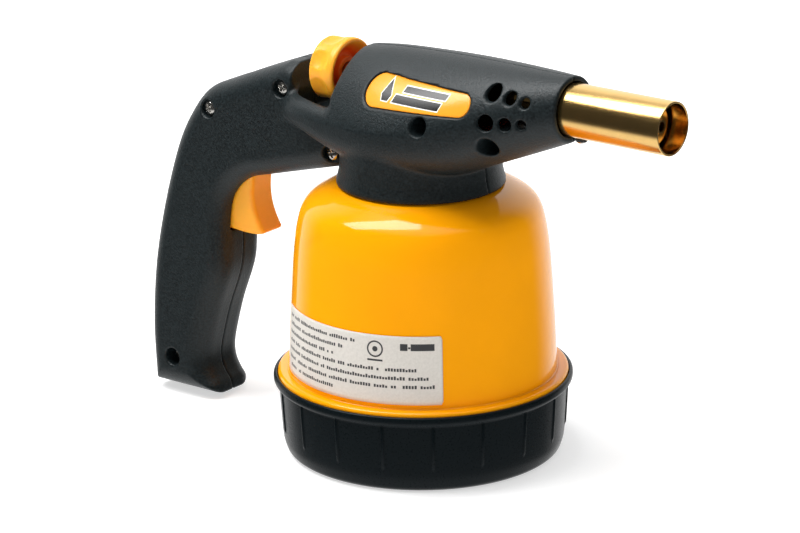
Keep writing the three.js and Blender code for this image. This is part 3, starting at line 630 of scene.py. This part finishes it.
# Sections of the head from tail to nose: half width, top, widest level, bottom
TAIL_X = -57
HEAD_HALF = [(TAIL_X, 4), (-53, 12.5), (-47, 18.2), (-38, 22.2), (-24, 26.2), (-6, 29.6), (8, 29.8),
             (24, 27.2), (36, 23.8), (48, 19.6), (58, 15.8), (NOSE_X, 11.9)]
HEAD_TOP = [(TAIL_X, 127), (-48, 138), (-38, 142.8), (-24, 147.8), (-15, 149.2), (-6, 149.9), (6, 150.4),
            (16, 150.7), (30, 150.8), (NOSE_X, 150.4)]
HEAD_WIDEST = [(TAIL_X, 122.8), (-40, 123.8), (-18, 124.6), (8, 126), (24, 128.6), (38, 131.6), (52, 135),
               (NOSE_X, BURNER_Z)]
HEAD_BOTTOM = [(TAIL_X, 120), (-50, 117.6), (-40, 115), (-30, 111.9), (-18, 109), (-6, 107.5), (4, 107.2),
               (18, 108.6), (29, 111), (38, 114.6), (48, 118.6), (58, 122.7), (NOSE_X, 126.7)]
HEAD_X = np.arange(-60, NOSE_X + 6, 0.25)


def ease(x, start, end):
    """0 before start, 1 after end, smooth between."""
    t = np.clip((x - start) / (end - start), 0, 1)
    return t * t * (3 - 2 * t)


def head_section(points, x):
    return np.interp(x, HEAD_X, curve_through(points, HEAD_X))


def head_level(x, y, z):
    """1 on the head's surface and less inside, with its slopes across Y and Z."""
    half = head_section(HEAD_HALF, x)
    widest = head_section(HEAD_WIDEST, x)
    rise = z - widest
    upper = rise > 0
    height = np.where(upper, head_section(HEAD_TOP, x) - widest, widest - head_section(HEAD_BOTTOM, x))
    side_power = np.where(upper, 2, 3 - ease(x, 20, NOSE_X))
    rise_power = np.where(upper, 1.14 + 0.86 * ease(x, 0, NOSE_X), side_power)
    a = np.maximum(np.abs(y) / half, 1e-4)
    b = np.maximum(np.abs(rise) / height, 1e-4)
    level = a**side_power + b**rise_power
    return level, side_power * a ** (side_power - 1) / half, rise_power * b ** (rise_power - 1) / height


def head_field(x, y, z):
    level, slope_y, slope_z = head_level(x, y, z)
    step = 0.4
    slope_x = (head_level(x + step, y, z)[0] - head_level(x - step, y, z)[0]) / (2 * step)
    slope = np.sqrt(slope_x**2 + slope_y**2 + slope_z**2)
    body = (level - 1) / np.maximum(slope, 1e-3)
    body = np.clip(body, -30, 30)
    return smooth_max(body, TAIL_X - x, 1.0)


COLLAR_LOW = 100.8
COLLAR_HIGH = 122.0
COLLAR_SIDE = [(COLLAR_LOW, 30.5), (102.2, 30.5), (104, 30), (106, 29.55), (110, 29.2),
               (COLLAR_HIGH, 28.9)]


def collar_field(x, y, z):
    """A plain neck that flares to a skirt over the holder, with room under it for the holder's crown."""
    radius = np.hypot(x, y)
    side = np.interp(z, *np.array(COLLAR_SIDE).T)
    underside = np.interp(radius, [24, 28.1, 30.5, 33], [104, 102, COLLAR_LOW, 99.9])
    return smooth_max(smooth_max(radius - side, underside - z, 0.5), z - COLLAR_HIGH, 0.5)


NOTCH = {"rear": -49.5, "front": -24.2, "cheek": 128.6, "pocket": 121.0, "wall": 3.2}


def notch_field(x, y, z):
    """Open across the housing over the cheeks, with a pocket between them that the knob turns in."""
    front = NOTCH["front"] + 0.06 * (z - NOTCH["cheek"])
    slot = smooth_max(NOTCH["rear"] - x, x - front, 0.6)
    opening = smooth_max(slot, NOTCH["cheek"] - z, 4.0)
    pocket = smooth_max(head_field(x, y, z) + NOTCH["wall"], NOTCH["pocket"] - z, 2.0)
    pocket = smooth_max(smooth_max(slot + 0.6, pocket, 1.0), z - NOTCH["cheek"] - 2, 0.5)
    return smooth_min(opening, pocket, 0.8)


def outer_field(x, y, z):
    """The closed outside of the housing, notch and nose face included."""
    form = smooth_min(head_field(x, y, z), collar_field(x, y, z), 1.0)
    form = smooth_min(form, plate_field(GRIP, PLATE_HALF, PLATE_ROUNDING, x, y, z), 1.6)
    form = smooth_max(form, x - NOSE_X, 0.8)
    edge = 0.9 + 2.4 * (1 - ease(z, 129.5, 133))
    return smooth_max(form, -notch_field(x, y, z), edge)


SCREWS = {}
for node in ("grip_top_screw", "neck_screw", "collar_screw", "grip_bottom_screw", "head_screw", "nose_screw"):
    low, high = cad_box(node)
    SCREWS[node] = {"at": ((low[0] + high[0]) / 2, (low[2] + high[2]) / 2), "seat": low[1]}
RECESS = 3.35  # radius of the hole over each screw
BORES = {"nose": 10.0, "spindle": 6.4, "collar": 28.2, "shank": 1.75}  # radii

# Vents and the badge's two ends, in the side view: x, z and radius
VENTS = [(44.2, 144.0, 2.75), (51.1, 143.1, 2.25), (56.9, 142.1, 1.85),
         (44.1, 134.4, 3.0), (50.8, 134.4, 2.4), (56.4, 134.8, 1.75)]
BADGE_REAR = (-2.8, 138.7, 5.2)
BADGE_FRONT = (33.6, 138.95, 3.8)

# How far under the head's surface the badge's face and back lie, and its pocket's floor
BADGE_FACE = 0.45
BADGE_BACK = 1.4
POCKET_FLOOR = 1.7
POCKET_GAP = 0.15  # between the badge and the pocket's side
SEAM_HALF = 0.16  # from the middle plane to each half of the housing


def pill_field(x, z, grow=0.0):
    """A tapered pill round two circles, in the side view."""
    ax, az, ra = BADGE_REAR
    bx, bz, rb = BADGE_FRONT
    length = math.hypot(bx - ax, bz - az)
    ux, uz = (bx - ax) / length, (bz - az) / length
    along = (x - ax) * ux + (z - az) * uz
    across = np.abs((z - az) * ux - (x - ax) * uz)
    sine = (ra - rb) / length
    cosine = math.sqrt(1 - sine * sine)
    before = along * cosine - across * sine < 0
    after = along * cosine - across * sine > length * cosine
    flank = across * cosine + along * sine - ra
    rear = np.hypot(along, across) - ra
    front = np.hypot(along - length, across) - rb
    return np.where(before, rear, np.where(after, front, flank)) - grow


def shell_field(x, y, z):
    """Both halves of the housing as one hollow moulding, before the seam is cut."""
    outside = outer_field(x, y, z)
    shell = smooth_max(outside, -(outside + WALL), 0.5)
    for screw in SCREWS.values():
        post = smooth_max(rod_y(x, z, *screw["at"], RECESS + 1.2), outside, 0.3)
        shell = smooth_min(shell, post, 0.3)
    pocket = smooth_max(pill_field(x, z, POCKET_GAP), -(head_field(x, y, z) + POCKET_FLOOR), 0.3)
    shell = smooth_max(shell, -pocket, 0.5)
    nose_bore = smooth_max(rod_x(y, z, BURNER_Z, BORES["nose"]), 60 - x, 0.4)
    shell = smooth_max(shell, -nose_bore, 0.5)
    spindle_bore = rod_x(y, z, KNOB_Z, BORES["spindle"])
    spindle_bore = np.maximum(spindle_bore, np.abs(x - NOTCH["front"] - 1) - 4)
    shell = smooth_max(shell, -spindle_bore, 0.4)
    trigger_slot = box_field((x, y, z), (-96, -6.7, 67.8), (-66, 6.7, 93.0), 1.2)
    shell = smooth_max(shell, -trigger_slot, 0.8)
    collar_bore = smooth_max(np.hypot(x, y) - BORES["collar"], z - 106, 0.5)
    shell = smooth_max(shell, -collar_bore, 0.4)
    for px, pz, radius in VENTS:
        hole = np.maximum(rod_y(x, z, px, pz, radius), 8 - np.abs(y))
        shell = smooth_max(shell, -hole, 0.7)
    for screw in SCREWS.values():
        px, pz = screw["at"]
        recess = np.maximum(rod_y(x, z, px, pz, RECESS), y - screw["seat"] - 1.9)
        shank = np.maximum(rod_y(x, z, px, pz, BORES["shank"]), y - 8)
        shell = smooth_max(shell, -np.minimum(recess, shank), 0.8)
    return shell


def right_field(x, y, z):
    return smooth_max(shell_field(x, y, z), y + SEAM_HALF, 0.5)


def left_field(x, y, z):
    return smooth_max(shell_field(x, y, z), SEAM_HALF - y, 0.5)


def build_housing(step):
    low, high = SHELL_BOX
    right = surface_of("right_housing", right_field, low, (high[0], 0.5, high[2]), step)
    left = surface_of("left_housing", left_field, (low[0], -0.5, low[2]), high, step)
    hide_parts("right_shell")
    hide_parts("left_shell")
    for piece in (right, left):
        dress(piece, "torch", BLACK_PLASTIC)


def badge_field(side):
    """The badge in its pocket, on the side where y is positive (1) or negative (-1)."""
    def field(x, y, z):
        depth = head_field(x, y, z)
        slab = smooth_max(depth + BADGE_FACE, -(depth + BADGE_BACK), 0.3)
        return smooth_max(smooth_max(slab, pill_field(x, z), 0.5), 3 - side * y, 0.2)
    return field


# ---- Knob, trigger and screws ----


KNOB = {"rear": KNOB_BOX[0][0], "front": KNOB_BOX[1][0], "barrel": 11.55, "ring": 12.25, "scoops": 7}


def knob_field(x, y, z):
    """A scooped barrel that flares to a plain ring round a dished front."""
    rear, front = KNOB["rear"], KNOB["front"]
    rise = z - KNOB_Z
    radius = np.hypot(y, rise)
    side = KNOB["barrel"] + (KNOB["ring"] - KNOB["barrel"]) * ease(x, front - 6.5, front - 2.5)
    body = smooth_max(smooth_max(radius - side, rear - x, 0.9), x - front, 1.6)
    for i in range(KNOB["scoops"]):
        # An ellipsoid with its centre a little outside the barrel
        angle = math.radians(-23 + 360 * i / KNOB["scoops"])
        along = (x - rear - 3.9) / 6
        out = (-y * math.cos(angle) + rise * math.sin(angle) - KNOB["barrel"] - 3.9) / 5
        across = (y * math.sin(angle) + rise * math.cos(angle)) / 8.3
        away = np.sqrt(along**2 + across**2 + out**2)
        body = smooth_max(body, -(away - 1) * 5.5, 0.4)
    cone = (radius - 8.4 - 0.9 * (x - front + 3)) * 0.74
    dish = smooth_max(cone, front - 4.6 - x, 0.8)
    hub = smooth_max(radius - 5.2, x - front + 2.2, 0.8)
    body = smooth_max(body, -smooth_max(dish, -hub, 0.6), 0.7)
    return smooth_max(body, -np.maximum(radius - 3.3, rear + 2.7 - x), 0.3)


TRIGGER_FACE = [
    (-84, 68.3), (-80, 68.0), (-76.5, 67.95), (-73, 68.2), (-70.8, 68.8), (-70.05, 69.8), (-71.1, 71.7),
    (-72.6, 74.6), (-73.9, 78.2), (-74.5, 81.4), (-74.7, 84.5), (-74.4, 88), (-73.9, 91.4),
]
TRIGGER = Outline(np.vstack([
    [(-97, 68.3)], spline(TRIGGER_FACE), [(-74.6, 92.4), (-97, 92.4)],
]), step=0.25, margin=6)


def trigger_field(x, y, z):
    """The finger's curved face with a flange behind it, hollowed from the rear."""
    finger = plate_field(TRIGGER, 6.3, 2.0, x, y, z)
    flange = box_field((x, y, z), (-96.2, -8.5, 69.3), (-94, 8.5, 88.4), 0.4)
    pocket = box_field((x, y, z), (-99, -4.6, 75.4), (-78.3, 4.6, 84.6), 0.3)
    finger = smooth_max(finger, -95.7 - x, 0.4)
    return smooth_max(smooth_min(finger, flange, 0.5), -pocket, 0.3)


SCREW = {"head": 2.5, "dome": 4.2, "shank": 1.4, "slot_half": 0.42, "slot_reach": 1.5}


def screw_field(px, pz, top):
    """A domed cross-head screw along Y, with its cross at an angle that differs from screw to screw."""
    def field(x, y, z):
        radius = np.hypot(x - px, z - pz)
        dome = np.hypot(radius, y - (top + SCREW["dome"])) - SCREW["dome"]
        head = smooth_max(smooth_max(radius - SCREW["head"], dome, 0.35), y - top - 1.6, 0.15)
        shank = smooth_max(radius - SCREW["shank"], np.maximum(y - 7.4, top + 1 - y), 0.3)
        turn = math.radians(20 + 37 * px)
        u = (x - px) * math.cos(turn) + (z - pz) * math.sin(turn)
        v = -(x - px) * math.sin(turn) + (z - pz) * math.cos(turn)
        depth = y - top - 1.2 + 0.35 * radius
        slot_u = np.maximum(np.abs(u) - SCREW["slot_half"], np.abs(v) - SCREW["slot_reach"])
        slot_v = np.maximum(np.abs(v) - SCREW["slot_half"], np.abs(u) - SCREW["slot_reach"])
        cross = np.maximum(smooth_min(slot_u, slot_v, 0.2), depth)
        return smooth_max(np.minimum(head, shank), -cross, 0.14)
    return field


def build_controls():
    low, high = KNOB_BOX
    knob = surface_of("knob", knob_field, low, high, 0.26)
    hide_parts("gas_knob")
    dress(knob, "knob", ORANGE_PLASTIC)
    low, high = cad_box("trigger")
    trigger = surface_of("finger_trigger", trigger_field, low, high, 0.35)
    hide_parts("trigger")
    dress(trigger, "trigger", ORANGE_PLASTIC)
    for node, screw in SCREWS.items():
        low, high = cad_box(node)
        made = surface_of(node + "_head", screw_field(*screw["at"], screw["seat"]), low, high, 0.16)
        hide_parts(node)
        dress(made, "torch", SCREW_STEEL)


# ---- Turned pieces ----

# The bell's outside from the flange up: radius and height
BELL = [
    (48.8, 31.4), (48.7, 36), (48.45, 44), (48, 53), (47.45, 62), (46.85, 71), (46.2, 78), (45.5, 83),
    (44.6, 87.6), (43.6, 91), (42, 93.8), (39.6, 96), (36.4, 97.9), (33.2, 99.4), (29.4, 100.5),
    (25.4, 101.2),
]


def build_holder():
    outside = spline(BELL, 5)
    inside = outside - np.array([1.0, 0.6])
    flange = rounded([
        (48, 12), (49, 12, 0.2), (49, 26.9, 0.3), (52.6, 26.9, 0.3), (53, 27.4, 0.3), (53, 30.9, 1.2),
        (49.6, 31.0, 0.8), (48.9, 30.7, 0.3),
    ], 0.3)
    rim = np.array([(24.2, 101.6), (24, 102.4), (23.2, 103), (9.3, 103), (9.3, 102)])
    profile = np.vstack([flange, outside, rim, inside[::-1], [(48, 30), (48, 12)]])
    holder = lathe("bell_holder", profile, 240)
    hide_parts("holder_shell")
    dress(holder, "torch", YELLOW_PAINT)


def build_base():
    profile = np.vstack([
        [(0, 0.6), (40, 0.6)],
        rounded([(40, 0.6), (41, 0, 0.4), (48, 0, 0.8), (50.1, 1.3, 2.2), (51.3, 5, 2), (51.6, 8, 1)], 1),
        [(51.65, 8.8), (51.7, 9.4), (51.78, 10.4), (52.2, 17), (52.65, 25.2)],
        rounded([(52.7, 26), (54, 26.3, 0.8), (54.6, 27.3, 0.6), (54.6, 29, 0.7), (54.1, 29.6, 0.5),
                 (53.3, 29.6, 0.2), (53.3, 26.8, 0.2), (50, 26.6, 0.3), (49.2, 6, 1)], 0.4),
        [(47, 3), (0, 3)],
    ])
    count, first, half_width, flank = 18, 11.4, 0.62, 0.3  # the last three in degrees
    ribs = [math.radians(first + 360 / count * k) for k in range(count)]
    steps = np.radians([-1.15, -0.62, -0.5, -0.3, 0, 0.3, 0.5, 0.62, 1.15])
    angles = sorted(
        [rib + s for rib in ribs for s in steps]
        + [rib + math.radians(a) for rib in ribs for a in np.arange(2.5, 19, 1.25)]
    )

    def raised(angle, points):
        nearest = min(abs((angle - rib + math.pi) % (2 * math.pi) - math.pi) for rib in ribs)
        across = math.sqrt(np.clip((math.radians(half_width) - nearest) / math.radians(flank), 0, 1))
        outer = (points[:, 0] > 51) & (points[:, 1] > 9) & (points[:, 1] < 26)
        along = np.clip((points[:, 1] - 9) / 1.2, 0, 1)
        return 0.42 * across * along * outer

    base = lathe("base_cup_skin", profile, angles, shift=raised)
    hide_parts("base_cup")
    dress(base, "base", BASE_PLASTIC)


def build_cartridge():
    """The thin-walled gas cartridge, with the hole that the needle has pierced in its top."""
    radius, foot, top, wall, hole = 44.6, 3.4, 91, 0.9, 1.2
    outside = [
        (0, foot + 3), (38, foot + 3, 1.5), (41.5, foot, 1), (radius, foot + 0.6, 1), (radius, 66, 5),
        (43.2, 74, 4), (38, 82, 4), (28, 88, 5), (12, top, 3), (hole, top),
    ]
    inside = [
        (hole, top - wall), (12, top - wall, 3), (27.5, 88 - wall, 5), (37.4, 81.4, 4), (42.3, 73.7, 4),
        (radius - wall, 65.8, 5), (radius - wall, foot + 1.6, 0.5), (41.8, foot + 1, 0.5),
        (38.3, foot + 3 + wall, 1.5), (0, foot + 3 + wall),
    ]
    can = lathe("cartridge_can", np.vstack([rounded(outside, 1, 8), rounded(inside, 1, 6)]))
    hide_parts("gas_cartridge")
    dress(can, "cartridge", TIN_PLATE)


def build_burner():
    low, high = TUBE_BOX
    outer = (high[1] - low[1]) / 2
    centre = (0, 0, BURNER_Z)
    rim = (outer - TUBE_BORE) * 0.4
    profile = rounded([
        (TUBE_BORE, low[0]), (outer, low[0], 0.2), (outer, high[0], rim), (TUBE_BORE, high[0], rim),
        (TUBE_BORE, low[0]),
    ], 0.2, 5)
    tube = lathe("burner_pipe", np.vstack([profile, profile[:1]]), 200, "x", centre)
    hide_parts("burner_tube")
    dress(tube, "torch", BURNER_BRASS)
    low, high = cad_box("flame_disc")
    inner, outer = 2.9, 7.6
    profile = rounded([
        (inner, low[0]), (outer, low[0], 0.2), (outer, high[0], 0.5), (inner, high[0], 0.15), (inner, low[0]),
    ], 0.2)
    disc = lathe("flame_plate", profile, 120, "x", centre)
    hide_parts("flame_disc")
    dress(disc, "torch", BURNER_BRASS)


def build_label():
    low, high, corner = LABEL["low"], LABEL["high"], LABEL["corner"]
    from_angle, to_angle = math.radians(LABEL["from"]), math.radians(LABEL["to"])
    heights = np.linspace(low, high, 20)
    curve = spline(BELL, 5)
    order = np.argsort(curve[:, 1])
    radii = np.interp(heights, curve[order, 1], curve[order, 0]) + 0.2
    columns = 90
    vertices = []
    for height, radius in zip(heights, radii):
        edge = max(0.0, corner - min(height - low, high - height))
        inset = (corner - math.sqrt(max(corner**2 - edge**2, 0))) / radius
        for angle in np.linspace(from_angle + inset, to_angle - inset, columns):
            vertices.append((radius * math.cos(angle), radius * math.sin(angle), height))
    faces = []
    for k in range(len(heights) - 1):
        for i in range(columns - 1):
            a = k * columns + i
            faces.append((a, a + 1, a + columns + 1, a + columns))
    label = new_object("label_film", vertices, faces)
    thick = label.modifiers.new("thickness", "SOLIDIFY")
    thick.thickness = LABEL["thick"] * MM
    thick.offset = 1
    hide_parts("rating_label")
    dress(label, "torch", LABEL_FILM)


def build_badges():
    for side, node in ((-1, "right_badge"), (1, "left_badge")):
        low, high = cad_box(node)
        plate = surface_of(node + "_plate", badge_field(side), low, high, 0.3)
        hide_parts(node)
        dress(plate, "torch", BADGE_PLASTIC)


# ---- CAD pieces that show as they are ----

CARRIED = [
    (SEAL_RUBBER, ("cartridge_seal", "gland_seal")),
    (NATURAL_PLASTIC, ("piezo_case",)),
    (BLACK_PLASTIC, ("piezo_plunger",)),
    (CERAMIC, ("electrode_insulator",)),
    (WIRE_SLEEVE, ("ignition_wire",)),
    (STEEL, ("electrode_rod", "burner_bush", "piercing_needle", "holder_nut")),
    (SCREW_STEEL, ("burner_screw",)),
    (BURNER_BRASS, ("mixing_tube",)),
    (BRASS, ("gas_pipe", "gas_jet", "valve_body", "gland_nut", "valve_spindle")),
]


def build_spring():
    """The plunger's return spring, which closes up as the trigger is pulled."""
    low, high = (np.array(corner) for corner in cad_box("piezo_spring"))
    wire, coils, around, along = 0.42, 4, 10, 160
    middle = (low + high) / 2
    reach = (high[2] - low[2]) / 2 - wire
    length = high[0] - low[0] - 2 * wire
    vertices = []
    for i in range(along + 1):
        turn = 2 * math.pi * coils * i / along
        centre = np.array([low[0] + wire + length * i / along,
                           middle[1] + reach * math.cos(turn), middle[2] + reach * math.sin(turn)])
        outward = np.array([0, math.cos(turn), math.sin(turn)])
        for k in range(around):
            angle = 2 * math.pi * k / around
            vertices.append(centre + wire * (outward * math.cos(angle) + np.array([math.sin(angle), 0, 0])))
    faces = []
    for here in range(0, along * around, around):
        for k in range(around):
            beside = (k + 1) % around
            faces.append((here + k, here + beside, here + around + beside, here + around + k))
    faces.append(tuple(range(around)))
    faces.append(tuple(along * around + k for k in reversed(range(around))))
    spring = new_object("return_spring", vertices, faces)
    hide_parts("piezo_spring")
    dress(spring, "torch", STEEL)
    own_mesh(spring)


def dress_carried():
    for material, nodes in CARRIED:
        for node in nodes:
            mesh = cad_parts[node].data
            mesh.materials.clear()
            mesh.materials.append(material)


# ---- Studio ----

# Angles in degrees, places in metres, and the lens in millimetres
CAMERA = {"azimuth": 38.21, "elevation": 18.06, "roll": -0.77, "distance": 1.514, "aside": -0.008,
          "height": 0.06845, "lens": 188.23}

# Both lamps hang here, turned by an angle in degrees
LAMP_PLACE = (-0.54, -0.34, 1.3)
LAMP_TURN = 37

AMBIENT = 0.5  # light on matt surfaces from all round
BACKDROP = 0.6  # share of the brightness behind the object that lights matt surfaces too
DARK_ROOM = 0.04  # what reflections see where no bright part is

# Bright parts of the room as reflections see them: direction, the cosines where each starts and is full,
# and its brightness. They are above, behind the object, and below.
REFLECTED = [
    ((0, 0, 1), 0.72, 0.97, 1.4),
    ((-0.62, 0.79, 0), 0.35, 0.85, 1.2),
    ((0, 0, -1), 0.38, 0.6, 1.0),
]
BEHIND = 1  # which of them is behind the object


def set_camera():
    a, e, r = (math.radians(CAMERA[key]) for key in ("azimuth", "elevation", "roll"))
    right = Vector((math.cos(a), math.sin(a), 0))
    back = Vector((math.sin(a) * math.cos(e), -math.cos(a) * math.cos(e), math.sin(e)))
    up = back.cross(right)
    camera = bpy.data.objects.new("camera", bpy.data.cameras.new("camera"))
    bpy.context.scene.collection.objects.link(camera)
    camera.data.lens = CAMERA["lens"]
    camera.data.sensor_width = 36
    camera.data.clip_end = 50
    x_axis = right * math.cos(r) + up * math.sin(r)
    y_axis = up * math.cos(r) - right * math.sin(r)
    target = right * CAMERA["aside"] + Vector((0, 0, CAMERA["height"]))
    place = target + back * CAMERA["distance"]
    rows = [(*row, offset) for row, offset in zip(zip(x_axis, y_axis, back), place)]
    camera.matrix_world = Matrix(rows + [(0, 0, 0, 1)])
    bpy.context.scene.camera = camera


def softbox(name, size, power, seen):
    """A flat lamp that faces down. It is either seen in reflections or lights matt surfaces."""
    lamp = bpy.data.lights.new(name, "AREA")
    lamp.shape = "RECTANGLE"
    lamp.size, lamp.size_y = size
    lamp.energy = power
    made = bpy.data.objects.new(name, lamp)
    bpy.context.scene.collection.objects.link(made)
    made.location = LAMP_PLACE
    made.rotation_euler = (0, 0, math.radians(LAMP_TURN))
    made.visible_glossy = seen
    made.visible_diffuse = not seen


def sky(world):
    """Soft light on matt surfaces; reflections see the bright parts of the room, and dark elsewhere."""
    tree = world.node_tree
    place = tree.nodes.new("ShaderNodeTexCoord").outputs["Generated"]
    towards = []
    for direction, start, end, value in REFLECTED:
        dot = tree.nodes.new("ShaderNodeVectorMath")
        dot.operation = "DOT_PRODUCT"
        dot.inputs[1].default_value = direction
        tree.links.new(place, dot.inputs[0])
        spread = tree.nodes.new("ShaderNodeMapRange")
        spread.interpolation_type = "SMOOTHSTEP"
        spread.inputs["From Min"].default_value = start
        spread.inputs["From Max"].default_value = end
        spread.inputs["To Min"].default_value = DARK_ROOM
        spread.inputs["To Max"].default_value = value
        tree.links.new(dot.outputs["Value"], spread.inputs["Value"])
        towards.append(spread.outputs[0])
    brightest = towards[0]
    for source in towards[1:]:
        brightest = math_node(tree, "MAXIMUM", brightest, source)
    even = math_node(tree, "MULTIPLY_ADD", towards[BEHIND], BACKDROP, AMBIENT)
    reflected = tree.nodes.new("ShaderNodeLightPath").outputs["Is Glossy Ray"]
    choose = tree.nodes.new("ShaderNodeMix")
    tree.links.new(reflected, choose.inputs["Factor"])
    tree.links.new(even, choose.inputs["A"])
    tree.links.new(brightest, choose.inputs["B"])
    tree.links.new(choose.outputs["Result"], tree.nodes["Background"].inputs["Strength"])


def build_floor():
    """Pale paper that glows a little, more so far away. Reflections see the room of sky() in its place."""
    half = 6000
    corners = [(-half, -half, 0), (half, -half, 0), (half, half, 0), (-half, half, 0)]
    floor = new_object("floor", corners, [(0, 1, 2, 3)])
    floor.visible_glossy = False
    paper = Finish("studio_paper", Roughness=0.9)
    grain = paper.noise(3, 2)
    paper.link(paper.ramp(grain, (0.3, 0.60), (0.7, 0.62)), "Base Color")
    metres = paper.math("DIVIDE", paper.length(paper.axis("X"), paper.axis("Y")), 1000)
    far = paper.ramp(metres, (0.2, 0.0), (0.7, 1.0))
    glow, more_far = 0.55, 0.6
    paper.shader.inputs["Emission Color"].default_value = (1, 1, 1, 1)
    paper.link(paper.math("MULTIPLY_ADD", far, more_far, glow), "Emission Strength")
    floor.data.materials.append(paper.material)


def build_studio():
    scene = bpy.context.scene
    scene.view_settings.view_transform = "Standard"
    world = bpy.data.worlds.new("studio")
    scene.world = world
    world.use_nodes = True
    world.node_tree.nodes["Background"].inputs["Color"].default_value = (1, 1, 1, 1)
    sky(world)
    build_floor()
    softbox("softbox_seen", (1.25, 0.55), 20, seen=True)
    softbox("softbox_light", (1.25, 0.75), 29, seen=False)


build_housing(FULL_STEP)
build_controls()
build_holder()
build_base()
build_cartridge()
build_burner()
build_label()
build_badges()
build_spring()
dress_carried()
set_camera()
build_studio()
